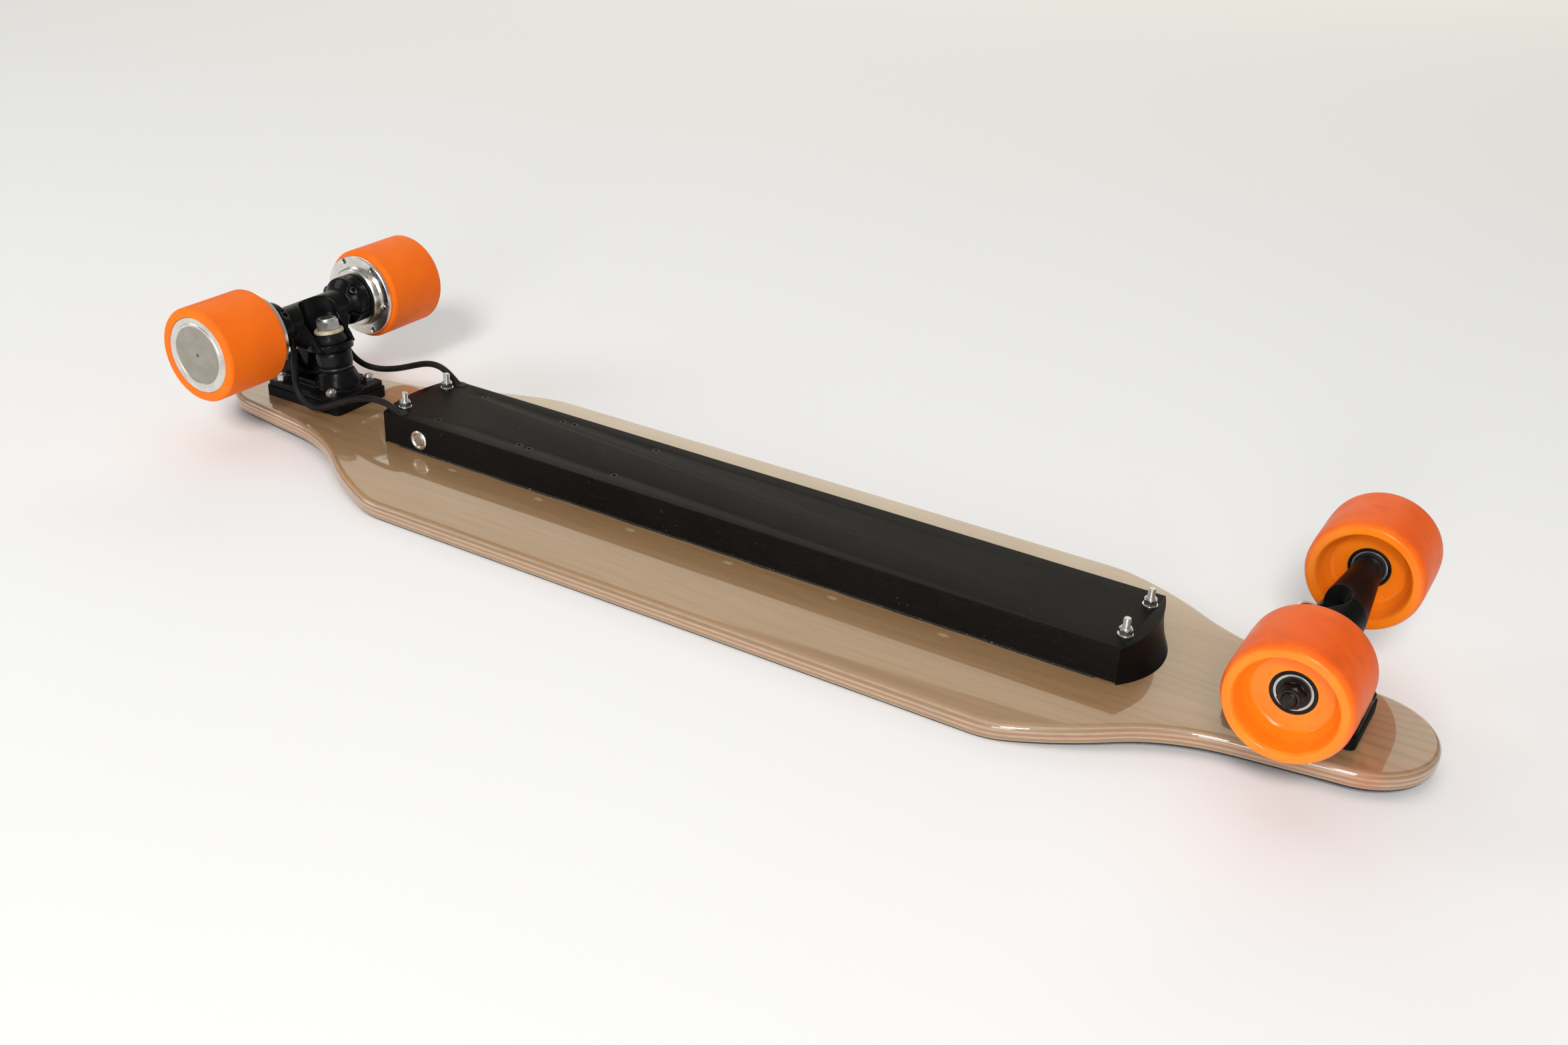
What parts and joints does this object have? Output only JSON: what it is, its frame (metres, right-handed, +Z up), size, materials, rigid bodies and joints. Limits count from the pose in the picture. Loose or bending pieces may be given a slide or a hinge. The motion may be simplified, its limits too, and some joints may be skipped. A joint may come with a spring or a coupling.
{
  "type": "electric skateboard",
  "caption": "Longboard-shaped electric skateboard lying deck down: ply deck, slim electronics enclosure, sprung trucks, hub-motor rear wheels and free-rolling front wheels.",
  "frame": {"origin": "under the centre of the deck, on the floor that the grip tape lies on, with the board upside down", "axes": "+X to the board's front end (away from the motors), +Z up to the wheels and away from the grip tape, +Y to the side with the charging socket. To ride the board it is turned 180 degrees about X."},
  "size_m": [0.96, 0.231, 0.1207],
  "materials": {
    "maple": "clear gloss lacquer over maple veneer",
    "grip": "coarse matt grit",
    "enclosure_black": "satin black anodised",
    "cap_black": "semi-gloss black",
    "foam": "matt closed-cell foam",
    "zinc": "bright zinc",
    "black_steel": "black oxide",
    "steel": "brushed stainless",
    "truck_black": "gloss black paint",
    "baseplate_black": "gloss black paint",
    "riser_black": "matt moulded pad",
    "bushing_black": "smooth urethane",
    "cream": "yellow-passivated steel",
    "urethane_gloss": "glossy translucent urethane",
    "urethane_matt": "matt scuffed urethane",
    "motor_alloy": "turned",
    "winding": "enamelled copper and laminations",
    "core_black": "moulded",
    "rubber_black": "smooth",
    "cable_black": "smooth jacket",
    "cell_wrap": "shrink-wrapped steel can",
    "nickel": "strip",
    "circuit_board": "solder mask",
    "heat_alloy": "milled",
    "component_black": "moulded"
  },
  "bodies": {
    "board": {"deck": "maple", "grip_tape": "grip", "enclosure_channel": "enclosure_black", "front_end_cap": "cap_black", "rear_end_cap": "cap_black", "enclosure_gasket": "foam", "enclosure_bolts": "zinc", "enclosure_washers": "zinc", "enclosure_nuts": "zinc", "cover_screws": "black_steel", "cable_grommets": "rubber_black", "button_housing": "steel", "button_nut": "zinc", "charge_socket": "steel", "battery_cells": "cell_wrap", "nickel_strips": "nickel", "battery_board": "circuit_board", "motor_controllers": "circuit_board", "heat_spreaders": "heat_alloy", "power_transistors": "component_black", "capacitors": "component_black", "radio_receiver": "circuit_board", "mounting_bolts": "zinc", "mounting_nuts": "zinc", "kingpins": "zinc", "kingpin_nuts": "zinc", "cup_washers": "cream", "near_motor_cable": "cable_black", "far_motor_cable": "cable_black", "front_riser": "riser_black", "front_baseplate": "baseplate_black", "front_pivot_cup": "rubber_black", "front_lower_bushing": "bushing_black", "front_upper_bushing": "bushing_black", "rear_riser": "riser_black", "rear_baseplate": "baseplate_black", "rear_pivot_cup": "rubber_black", "rear_lower_bushing": "bushing_black", "rear_upper_bushing": "bushing_black"},
    "power_button": {"button_cap": "steel"},
    "front_hanger_body": {"front_hanger": "truck_black", "front_axle": "black_steel", "front_axle_nuts": "black_steel", "front_speed_washers": "steel"},
    "rear_hanger_body": {"rear_hanger": "truck_black", "clamp_screws": "black_steel", "near_motor_stator": "winding", "far_motor_stator": "winding"},
    "near_front_wheel_body": {"near_front_wheel": "urethane_gloss", "near_front_core": "core_black", "near_front_bearings": "steel"},
    "near_rear_wheel_body": {"near_rear_tyre": "urethane_matt", "near_motor_hub": "motor_alloy", "near_flange_screws": "black_steel"},
    "far_front_wheel_body": {"far_front_wheel": "urethane_gloss", "far_front_core": "core_black", "far_front_bearings": "steel"},
    "far_rear_wheel_body": {"far_rear_tyre": "urethane_matt", "far_motor_hub": "motor_alloy", "far_flange_screws": "black_steel"}
  },
  "joints": [
    {"name": "front_steer", "type": "hinge", "parent": "board", "child": "front_hanger_body", "pos_m": [0.421, 0, 0.03981], "axis": [0.8305, 0, -0.557], "range_deg": [-10, 10], "stiffness_Nm_per_rad": 60, "deforming": ["front_lower_bushing", "front_upper_bushing"]},
    {"name": "rear_steer", "type": "hinge", "parent": "board", "child": "rear_hanger_body", "pos_m": [-0.421, 0, 0.03981], "axis": [-0.8305, 0, -0.557], "range_deg": [-10, 10], "stiffness_Nm_per_rad": 60, "deforming": ["rear_lower_bushing", "rear_upper_bushing", "near_motor_cable", "far_motor_cable"]},
    {"name": "power_button_press", "type": "slide", "parent": "board", "child": "power_button", "axis": [0, 1, 0], "range_m": [0, 0.0015], "stiffness_N_per_m": 1500},
    {"name": "near_front_wheel_spin", "type": "hinge", "parent": "front_hanger_body", "child": "near_front_wheel_body", "pos_m": [0.408, -0.08425, 0.08431], "axis": [0, 1, 0], "continuous": true},
    {"name": "far_front_wheel_spin", "type": "hinge", "parent": "front_hanger_body", "child": "far_front_wheel_body", "pos_m": [0.408, 0.08425, 0.08431], "axis": [0, 1, 0], "continuous": true},
    {"name": "near_rear_wheel_spin", "type": "hinge", "parent": "rear_hanger_body", "child": "near_rear_wheel_body", "pos_m": [-0.408, -0.0861, 0.08431], "axis": [0, 1, 0], "continuous": true},
    {"name": "far_rear_wheel_spin", "type": "hinge", "parent": "rear_hanger_body", "child": "far_rear_wheel_body", "pos_m": [-0.408, 0.0861, 0.08431], "axis": [0, 1, 0], "continuous": true}
  ]
}
